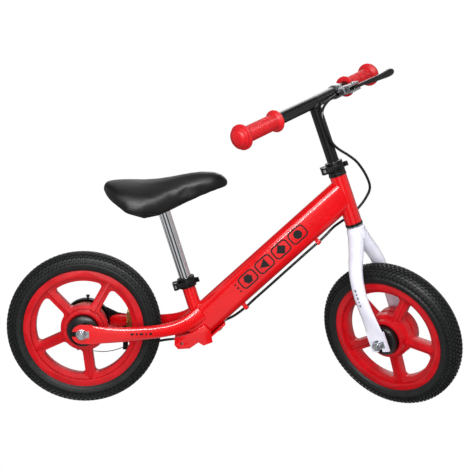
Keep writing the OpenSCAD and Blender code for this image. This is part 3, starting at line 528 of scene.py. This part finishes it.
RACE_HALF = 1.35 * MM
CROWN_S = (STEERING.inverted() @ middle("crown_race")).z - RACE_HALF
AXLE_S = (STEERING.inverted() @ front_hub).z
# The CAD fork is kept above the crown, as the steerer, and below this height, as the dropouts.
DROPOUT_TOP_S = AXLE_S + 25 * MM
STEERER_OVERLAP = 1 * MM
CROWN_WELD_R, CROWN_WELD_DROP = 16.4 * MM, 4 * MM
# Left blade's centre line in the steering frame, in mm: forward, to the side, down from the crown.
BLADE_ROUTE = [(0, 5, -6), (0, 8, -19), (-0.5, 14, -32), (-1, 23, -48), (-2, 32, -63), (-3, 39, -79),
               (-4, 44.5, -99), (-4.5, 47.5, -124), (-3.5, 48, -150), (-2, 47, -180), (-1, 47, -204)]
BLADE_DEPTHS = (29, 31, 31, 30, 29, 28, 27, 27, 28, 32, 37)
BLADE_WIDTHS = (30, 28, 26, 24, 23, 22, 21, 19, 15, 9, 4.4)
# Crown's outline in mm: radius, height against the crown's top.
CROWN_OUTLINE = [(8, -30), (16.5, -24), (16.8, -4), (15.6, -0.4), (12, 0), (8, 0)]


def weld_bead(points, radius, segments=8):
    """A closed bead of weld along a loop of points, a little rippled as the torch moves on."""
    shape = bmesh.new()
    last = first = None
    count = len(points)
    for i, point in enumerate(points):
        ahead = (points[(i + 1) % count] - points[i - 1]).normalized()
        ripple = radius * (1 + 0.1 * math.sin(i * 2.4))
        ring = axis_frame(point, ahead, ahead.orthogonal()) @ Matrix.Diagonal((ripple, ripple, 1, 1))
        made = bmesh.ops.create_circle(shape, cap_ends=False, radius=1.0, segments=segments, matrix=ring)
        loop = list({edge for vert in made["verts"] for edge in vert.link_edges})
        if last:
            bmesh.ops.bridge_loops(shape, edges=last + loop)
        first, last = first or loop, loop
    bmesh.ops.bridge_loops(shape, edges=last + first)
    return close_up(shape)


def add_fork():
    """Two lofted blades and a turned crown, joined to the CAD's own steerer and dropouts."""
    shape = bmesh.new()
    for side in (1, -1):
        route = smooth_route([(t * MM, side * y * MM, CROWN_S + s * MM) for t, y, s in BLADE_ROUTE], 4)
        depths = smooth_values([d * MM for d in BLADE_DEPTHS], 4)
        widths = smooth_values([w * MM for w in BLADE_WIDTHS], 4)
        join_shape(shape, lofted(rings_along(route, depths, widths, (1, 0, 0)), 32))
    join_shape(shape, turned([(r * MM, CROWN_S + s * MM) for r, s in CROWN_OUTLINE], 64))
    shape.transform(STEERING)
    for height, keep_below in ((CROWN_S - STEERER_OVERLAP, False), (DROPOUT_TOP_S, True)):
        join_shape(shape, cut_of("fork", STEERING @ Vector((0, 0, height)), steer_axis, keep_below))
    add_piece("fork_welded", shape, white_enamel, "steering", ["fork"])
    rim = [STEERING @ Vector((CROWN_WELD_R * math.cos(a), CROWN_WELD_R * math.sin(a),
                              CROWN_S - CROWN_WELD_DROP)) for a in round_angles(72)]
    add_piece("fork_crown_weld", weld_bead(rim, 1.1 * MM), white_enamel, "steering")


add_fork()

# ---------- Chainstays ----------

# Left stay's centre line on the bike, in mm from the rear axle: forward, to the side, height.
STAY_ROUTE = [(14, 52, 144), (45, 51.5, 144), (80, 48, 145), (115, 42, 147), (148, 36, 150),
              (175, 29, 155), (198, 21, 164), (220, 14, 180)]
STAY_HEIGHTS = (36, 31, 28, 26, 25, 26, 29, 30)
STAY_WIDTHS = (4.6, 9, 14, 16, 16, 16, 16, 14)
DROPOUT_END = 20 * MM


def add_stay(node, side):
    """A flattened, bent tube that runs into the CAD's own dropout."""
    route = smooth_route([BIKE @ Vector((x * MM, side * y * MM, z * MM)) for x, y, z in STAY_ROUTE], 4)
    widths = smooth_values([w * MM for w in STAY_WIDTHS], 4)
    heights = smooth_values([h * MM for h in STAY_HEIGHTS], 4)
    shape = lofted(rings_along(route, widths, heights, (0, 1, 0)), 32)
    join_shape(shape, cut_of(node, BIKE @ Vector((DROPOUT_END, 0, 0)), FORWARD, True))
    add_piece(node + "_formed", shape, red_powder_paint, "frame", [node])


add_stay("chainstay_right", -1)
add_stay("chainstay_left", 1)

# ---------- Welds between the tubes ----------

# A height on the seat tube that is well above the main tube.
ABOVE_JUNCTION = 0.25


def meet_capsule(point, direction):
    """Where a line going down the seat tube meets the main tube's rounded top."""
    centre = MAIN @ Vector((-(MAIN_DEPTH - MAIN_WIDTH) / 2, 0, 0))
    run = MAIN.col[2].xyz
    offset = point - centre
    a = direction - run * direction.dot(run)
    b = offset - run * offset.dot(run)
    half_linear, constant = a.dot(b), b.length_squared - (MAIN_WIDTH / 2) ** 2
    root = math.sqrt(max(0.0, half_linear ** 2 - a.length_squared * constant))
    return point + direction * (-half_linear - root) / a.length_squared


def add_welds():
    """Beads where the seat tube meets the main tube and where the stem meets the crossbar."""
    ring = [meet_capsule(SEAT @ Vector((SEAT_TUBE_R * math.cos(a), SEAT_TUBE_R * math.sin(a),
                                        ABOVE_JUNCTION)), -seat_axis) for a in round_angles(60)]
    add_piece("seat_tube_weld", weld_bead(ring, 1.7 * MM), red_powder_paint, "frame")
    tee = [STEERING @ Vector((BAR_R * math.cos(a), BAR_R * math.sin(a), BAR_S - BAR_R * abs(math.sin(a))))
           for a in round_angles(60)]
    add_piece("handlebar_weld", weld_bead(tee, 1.8 * MM), black_paint, "handlebar")


add_welds()

# ---------- Grips: fine ribs between two flanges, and a stepped, domed end ----------

GRIP_LENGTH = 95 * MM
GRIP_R = 13.3 * MM
RIBS = 19
RIB_HEIGHT = 1.0 * MM
# Outlines in mm: radius, then length from the grip's start and from the bar's end.
INNER_FLANGE = [(19.2, 0), (20, 0.8), (20, 2.4), (19, 3.4), (15.6, 5), (13.3, 8.5)]
OUTER_END = [(13.6, -6), (15.2, -3.2), (21.6, -1.8), (22.5, -0.9), (22.5, 2.4), (21.6, 3.4), (18.2, 3.8),
             (17.8, 4.2), (17.8, 5.2), (19.4, 5.8), (19.4, 8.0), (18.6, 8.8), (15.2, 9.2), (14.8, 9.8),
             (15.4, 10.4), (14.6, 12.4), (12, 14.2), (8, 15.5), (4, 16), (0, 16.1), (0, 4)]
RIBS_START = 9.5 * MM
RIB_PITCH = (GRIP_LENGTH - 17 * MM) / RIBS


def bar_frame(side):
    """Along the crossbar from the steering axis towards one end."""
    centre = STEERING @ Vector((0, 0, BAR_S))
    return axis_frame(centre, middle("grip_left" if side > 0 else "grip_right") - centre, steer_axis)


def add_grip(node, side):
    """The grip's outline turned about the bar."""
    start = BAR_HALF - GRIP_LENGTH
    outline = [(BAR_R, start)] + [(r * MM, start + h * MM) for r, h in INNER_FLANGE]
    for rib in range(RIBS):
        at = start + RIBS_START + rib * RIB_PITCH
        outline += [(GRIP_R, at), (GRIP_R + RIB_HEIGHT, at + 0.22 * RIB_PITCH),
                    (GRIP_R + RIB_HEIGHT, at + 0.55 * RIB_PITCH), (GRIP_R, at + 0.78 * RIB_PITCH)]
    outline += [(r * MM, BAR_HALF + h * MM) for r, h in OUTER_END] + [(BAR_R, BAR_HALF + 4 * MM)]
    shape = turned(outline, 72)
    shape.transform(bar_frame(side))
    add_piece(node + "_ribbed", shape, red_rubber, "handlebar", [node], crease=50)


add_grip("grip_right", -1)
add_grip("grip_left", 1)

# ---------- Brake lever: a long blade that swells to a bulb ----------

LEVER_S = BAR_S - 2.9 * MM
# Centre line in the steering frame, in mm: forward, to the left, above the lever's own height.
LEVER_ROUTE = [(27, 92, 0), (28, 100, 0), (33, 116, 0), (40, 138, -1), (47, 164, -1.5), (52, 184, -1),
               (54.5, 194, -0.4), (55.6, 199, -0.1), (56, 201, 0)]
LEVER_WIDTHS = (11, 13, 11.5, 11, 12, 15.5, 15, 11, 5)
LEVER_THICKS = (5.6, 6, 6.8, 9.6, 11.2, 14.2, 14, 10, 4.5)


def add_lever():
    """A blade lofted along its centre line."""
    route = smooth_route([STEERING @ Vector((t * MM, y * MM, LEVER_S + s * MM))
                          for t, y, s in LEVER_ROUTE], 4)
    widths = smooth_values([w * MM for w in LEVER_WIDTHS], 4)
    thicks = smooth_values([t * MM for t in LEVER_THICKS], 4)
    shape = lofted(rings_along(route, widths, thicks, front_forward), 28)
    add_piece("brake_lever_formed", shape, black_abs, "brake_lever", ["brake_lever"])


add_lever()

# ---------- Cables ----------

HOUSING_D = 5 * MM
WIRE_D = 1.6 * MM
# Routes in mm on the bike: forward of the rear axle, to the left, height.
LOWER_ROUTE = [(456, 10, 335), (446, 4.5, 326), (437, 1, 318), (424, 0, 306), (390, 0, 273), (350, 0, 234),
               (320, 0, 205), (305, 0, 190), (285, 5, 172), (268, 14, 160), (250, 24, 148), (232, 29, 134),
               (210, 32, 122), (180, 35, 115), (150, 38, 110), (118, 43, 101), (95, 44, 93), (80, 44, 92)]
WIRE_ROUTE = [(70, 44, 92), (60, 44, 88), (46, 44.5, 84), (30, 45.5, 82), (11, 47, 83), (-4, 48.5, 85.5),
              (-17, 49, 87), (-24, 49, 88)]
UPPER_ROUTE = [(456.6, 10.4, 335.6), (468, 16.5, 346), (485, 24, 357), (503, 27, 370), (517, 28, 385),
               (528, 28, 402), (534, 27, 422), (524, 24, 446), (505, 17, 470), (484, 8, 485),
               (468, -2, 494), (455, -12, 504), (445, -19, 518), (437, -22, 537), (430, -20, 557),
               (433, -11, 571), (444, 6, 583), (460, 26, 593)]
UPPER_SPLIT = 9


def add_cable(name, route, diameter, finish, body, node, segments=16):
    """A cable along a route on the bike; the length of its smooth centre line is worked out but not used."""
    points = [Vector(point) for point in route]
    piece = add_piece(name, round_cable(points, diameter, 5, segments), finish, body, [node])
    path = [BIKE @ (point * MM) for point in smooth_route(points, 5)]
    length = sum((b - a).length for a, b in zip(path, path[1:]))
    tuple(path[0][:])
    return piece


def add_cables():
    """The upper run is in two pieces, which ride on no body, like the wire."""
    add_cable("lower_cable_housing", LOWER_ROUTE, HOUSING_D, cable_jacket, "frame", "lower_housing")
    low = add_cable("upper_cable_housing_low", UPPER_ROUTE[:UPPER_SPLIT + 1], HOUSING_D, cable_jacket, None,
                    "upper_housing")
    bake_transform(low)
    high = add_cable("upper_cable_housing_high", UPPER_ROUTE[UPPER_SPLIT:], HOUSING_D, cable_jacket, None,
                     "upper_housing")
    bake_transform(high)
    wire = add_cable("brake_wire", WIRE_ROUTE, WIRE_D, wire_steel, None, "inner_wire",
                     segments=8)
    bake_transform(wire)


add_cables()

# ---------- Saddle rails and the arm's spring ----------

# Rail's centre line on the bike, in mm: forward of the rear axle, to the side, height.
RAIL_ROUTE = [(74.4, 30, 406), (88.4, 25, 397), (110.4, 20, 392.5), (132.4, 20, 392), (160.4, 20, 392),
              (182.4, 17, 399), (202.4, 12, 414), (220.4, 8, 428)]


def add_rails():
    """Two round rails under the saddle."""
    shape = bmesh.new()
    for side in (-1, 1):
        join_shape(shape, round_cable([Vector((x, side * y, z)) for x, y, z in RAIL_ROUTE], 7 * MM, 5, 20))
    add_piece("saddle_rails_bent", shape, zinc_plate, "saddle", ["saddle_rails"])


def add_spring():
    """A torsion spring wound round the arm's pivot."""
    low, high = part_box("brake_spring")
    centre = (low + high) / 2
    wire, coil_r, turns, per_turn = 1.1 * MM, 4.1 * MM, 3.2, 20
    route = []
    for i in range(int(turns * per_turn) + 1):
        a = math.tau * i / per_turn
        rise = low.y + wire / 2 + (high.y - low.y - wire) * i / (turns * per_turn)
        route.append(Vector((centre.x + coil_r * math.cos(a), rise, centre.z + coil_r * math.sin(a))))
    size = [wire] * len(route)
    add_piece("brake_spring_wound", lofted(rings_along(route, size, size, (0, 1, 0)), 10), zinc_plate,
              "frame", ["brake_spring"])


add_rails()
add_spring()

# ---------- Saddle ----------

SKIN_GRID = 3.5 * MM
SWELL_LIMIT = 2.5 * MM
CLOTH_FRAMES = 20


def add_saddle():
    """The cover is drawn over foam: its form is remeshed, swollen a little by pressure and smoothed."""
    shape = copy_of("saddle_cover")
    mesh = bpy.data.meshes.new("saddle_form")
    shape.to_mesh(mesh)
    shape.free()
    form = bpy.data.objects.new("saddle_form", mesh)
    scene.collection.objects.link(form)
    remesh = form.modifiers.new("even_skin", "REMESH")
    remesh.mode = "VOXEL"
    remesh.voxel_size = SKIN_GRID
    soften = form.modifiers.new("soften", "SMOOTH")
    soften.factor = 0.5
    soften.iterations = 10
    graph = bpy.context.evaluated_depsgraph_get()
    even = bpy.data.meshes.new_from_object(form.evaluated_get(graph))
    form.modifiers.clear()
    form.data = even
    rest = [vert.co.copy() for vert in even.vertices]
    cloth = form.modifiers.new("pressure", "CLOTH")
    cloth.settings.use_pressure = True
    cloth.settings.uniform_pressure_force = 4
    cloth.settings.quality = 5
    cloth.settings.effector_weights.gravity = 0
    cloth.point_cache.frame_end = CLOTH_FRAMES
    for step in range(1, CLOTH_FRAMES + 1):
        scene.frame_set(step)
    graph = bpy.context.evaluated_depsgraph_get()
    swollen = bpy.data.meshes.new_from_object(form.evaluated_get(graph))
    form.modifiers.clear()
    scene.frame_set(1)
    low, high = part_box("saddle_cover")
    core = (low + high) / 2
    for vert, start, end in zip(even.vertices, rest, [v.co.copy() for v in swollen.vertices]):
        move = end - start
        outwards = Vector((0, start.y - core.y, start.z - low.z))
        if move.length > SWELL_LIMIT:
            move *= SWELL_LIMIT / move.length
        if move.dot(outwards) > 0:
            vert.co = start + move
    skin = bmesh.new()
    skin.from_mesh(even)
    bpy.data.objects.remove(form)
    for _ in range(4):
        bmesh.ops.smooth_vert(skin, verts=skin.verts, factor=0.5, use_axis_x=True, use_axis_y=True,
                              use_axis_z=True)
    saddle = add_piece("saddle_upholstery", skin, saddle_skin, "saddle", ["saddle_cover"],
                       crease=80)
    finer = saddle.modifiers.new("finer", "SUBSURF")
    finer.levels = finer.render_levels = 1


add_saddle()

# ---------- Generic marks: plain figures, no lettering ----------

FILM = 0.25 * MM
TILE_PITCH = 41.5 * MM
TILE_SIZE = (37 * MM, 27 * MM)
TILE_CORNER = 8 * MM
TILE_LINE = 2.6 * MM
TILE_RISE = -3.5 * MM
FIRST_TILE = 115 * MM
# Each figure's corners and its radius in mm, from the head tube down: disc, diamond, triangle, hexagon.
FIGURES = ((40, 8.5), (4, 11), (3, 11.5), (6, 9.5))
DOTS_MM = (1.8, 2.2, 1.8)
DOTS_AT = FIRST_TILE + 3.62 * TILE_PITCH
DASH_SHARES = (1.0, 0.6, 1.0, 0.45, 0.8)


def rounded_plate(size, corner, thickness, corner_steps=6):
    """A thin plate with round corners, flat on z."""
    shape = bmesh.new()
    bmesh.ops.create_cube(shape, size=1.0, matrix=Matrix.Diagonal((size[0], size[1], thickness, 1)))
    upright = [e for e in shape.edges if abs((e.verts[0].co - e.verts[1].co).z) > thickness / 2]
    bmesh.ops.bevel(shape, geom=upright, offset=corner, offset_type="OFFSET", affect="EDGES",
                    segments=corner_steps, profile=0.5, material=-1)
    return shape


def film_frame(size, corner, line, thickness):
    """A rounded frame of film: the plate's top is inset, and the inside is pushed down and out."""
    shape = rounded_plate(size, corner, thickness)
    flats = [f for f in shape.faces if abs(f.normal.z) > 0.9]
    bmesh.ops.inset_individual(shape, faces=flats, thickness=line, use_even_offset=True)
    inner = [f for f in shape.faces if abs(f.normal.z) > 0.9 and len(f.verts) > 4]
    loops = [list(f.edges) for f in inner]
    bmesh.ops.delete(shape, geom=inner, context="FACES_ONLY")
    bmesh.ops.bridge_loops(shape, edges=loops[0] + loops[1])
    return close_up(shape)


def tile_figure(corners, radius, thickness, turn=0.0):
    """A small solid figure: a disc, or a regular shape with so many corners."""
    shape = bmesh.new()
    bmesh.ops.create_cone(shape, cap_ends=True, segments=corners, radius1=radius, radius2=radius,
                          depth=thickness, matrix=Matrix.Rotation(turn, 4, "Z"))
    return shape


def add_tube_marks(name, side):
    """Four framed figures along one flat side of the main tube, and three dots behind them."""
    shape = bmesh.new()
    facing = Matrix.Rotation(-side * math.pi / 2, 4, "X")
    for i, (corners, radius) in enumerate(FIGURES):
        place = (MAIN @ Matrix.Translation((TILE_RISE, side * (MAIN_WIDTH / 2 + FILM / 2),
                                            FIRST_TILE + i * TILE_PITCH))
                 @ facing @ Matrix.Rotation(math.pi / 2, 4, "Z"))
        join_shape(shape, film_frame(TILE_SIZE, TILE_CORNER, TILE_LINE, FILM), place)
        join_shape(shape, tile_figure(corners, radius * MM, FILM, math.pi / 2), place)
    for i, dot in enumerate(DOTS_MM):
        place = MAIN @ Matrix.Translation(((-11 + 8 * i) * MM, side * (MAIN_WIDTH / 2 + FILM / 2),
                                           DOTS_AT)) @ facing
        join_shape(shape, tile_figure(16, dot * MM, FILM), place)
    add_piece(name, shape, black_film, "frame")


add_tube_marks("main_tube_marks_right", 1)
add_tube_marks("main_tube_marks_left", -1)


def add_dashes(name, places, size, body, finish):
    """A short row of plain dashes, each at its own place."""
    shape = bmesh.new()
    for share, place in zip(DASH_SHARES, places):
        join_shape(shape, rounded_plate((size[0] * share, size[1]), 0.25 * size[1], 0.8 * MM), place)
    add_piece(name, shape, finish, body)


def add_small_marks():
    """Dashes on the outsides of the stays and of the fork's blades."""
    quarter = math.pi / 2
    count = len(DASH_SHARES)
    for side, end in ((-1, "right"), (1, "left")):
        places = []
        for i in range(count):
            x = 93 + 8.5 * i
            # The stay's outside closes in on the bike's middle as it runs forward.
            out = 55 - (x - 80) / 7
            places.append(BIKE @ Matrix.Translation((x * MM, side * out * MM, 147 * MM))
                          @ Matrix.Rotation(math.radians(-9 * side), 4, "Z")
                          @ Matrix.Rotation(quarter, 4, "X"))
        add_dashes("stay_dashes_" + end, places, (6 * MM, 4 * MM), "frame", black_film)
    for side, end in ((-1, "right"), (1, "left")):
        places = [STEERING @ Matrix.Translation((-4.2 * MM, side * 57.4 * MM, (268 - 7.6 * i) * MM))
                  @ Matrix.Rotation(quarter, 4, "X") @ Matrix.Rotation(quarter, 4, "Z")
                  for i in range(count)]
        add_dashes("blade_dashes_" + end, places, (5 * MM, 3 * MM), "steering", grey_print)


add_small_marks()

# ---------- Studio ----------


def add_area_light(name, at, aim, size, power, along=None):
    """A softbox at one place that faces another; along gives the direction of its long side."""
    light = bpy.data.objects.new(name, bpy.data.lights.new(name, "AREA"))
    light.data.shape = "RECTANGLE"
    light.data.size, light.data.size_y = size
    light.data.energy = power
    away = Vector(at) - Vector(aim)
    light.matrix_world = axis_frame(at, away, along or FORWARD)
    scene.collection.objects.link(light)
    return light


# Brightness round the room, by how far a direction leans fore or aft.
ROOM_BANDS = ((0.0, 0.75), (0.22, 0.7), (0.3, 0.1), (0.62, 0.06), (0.72, 0.6), (0.86, 0.7), (0.93, 0.1),
              (1.0, 1.0))


def build_studio():
    """White room with bright and dark bands round the bike, so that round metal gets its streaks."""
    world = bpy.data.worlds.new("studio")
    scene.world = world
    world.use_nodes = True
    tree = world.node_tree
    tree.nodes.clear()
    direction = add_node(tree, "ShaderNodeTexCoord").outputs["Generated"]
    axes = add_node(tree, "ShaderNodeSeparateXYZ", links={"Vector": direction})
    sideways = add_node(tree, "ShaderNodeMath", links={0: axes.outputs["X"]}, operation="ABSOLUTE")
    bands = add_node(tree, "ShaderNodeValToRGB", links={"Fac": sideways.outputs[0]})
    stops = bands.color_ramp.elements
    stops.remove(stops[1])
    for position, level in ROOM_BANDS:
        stop = stops.new(position) if position else stops[0]
        stop.color = (level, level, level, 1)
    seen = add_node(tree, "ShaderNodeBackground", {"Color": (1, 1, 1, 1), "Strength": 1.0})
    fill = add_node(tree, "ShaderNodeBackground", {"Strength": 1.0}, {"Color": bands.outputs["Color"]})
    path = add_node(tree, "ShaderNodeLightPath")
    both = add_node(tree, "ShaderNodeMixShader")
    tree.links.new(path.outputs["Is Camera Ray"], both.inputs[0])
    tree.links.new(fill.outputs[0], both.inputs[1])
    tree.links.new(seen.outputs[0], both.inputs[2])
    add_node(tree, "ShaderNodeOutputWorld", links={"Surface": both.outputs[0]})

    add_area_light("key_softbox", (-0.5, -1.6, 1.9), (0, 0, 0.3), (1.4, 1.0), 28)
    front = add_area_light("front_fill", (0.1, -2.6, 0.7), (0, 0, 0.3), (2.4, 1.6), 55)
    front.visible_glossy = False
    strip = add_area_light("tube_strip", (0.25, -1.15, 1.25), (0.1, 0, 0.35), (1.8, 0.12), 30,
                           along=MAIN.col[2].xyz)
    strip.visible_diffuse = False
    add_area_light("back_softbox", (0.5, 1.6, 1.5), (0, 0, 0.35), (1.4, 1.0), 12)
    scene.view_settings.view_transform = "Standard"


build_studio()
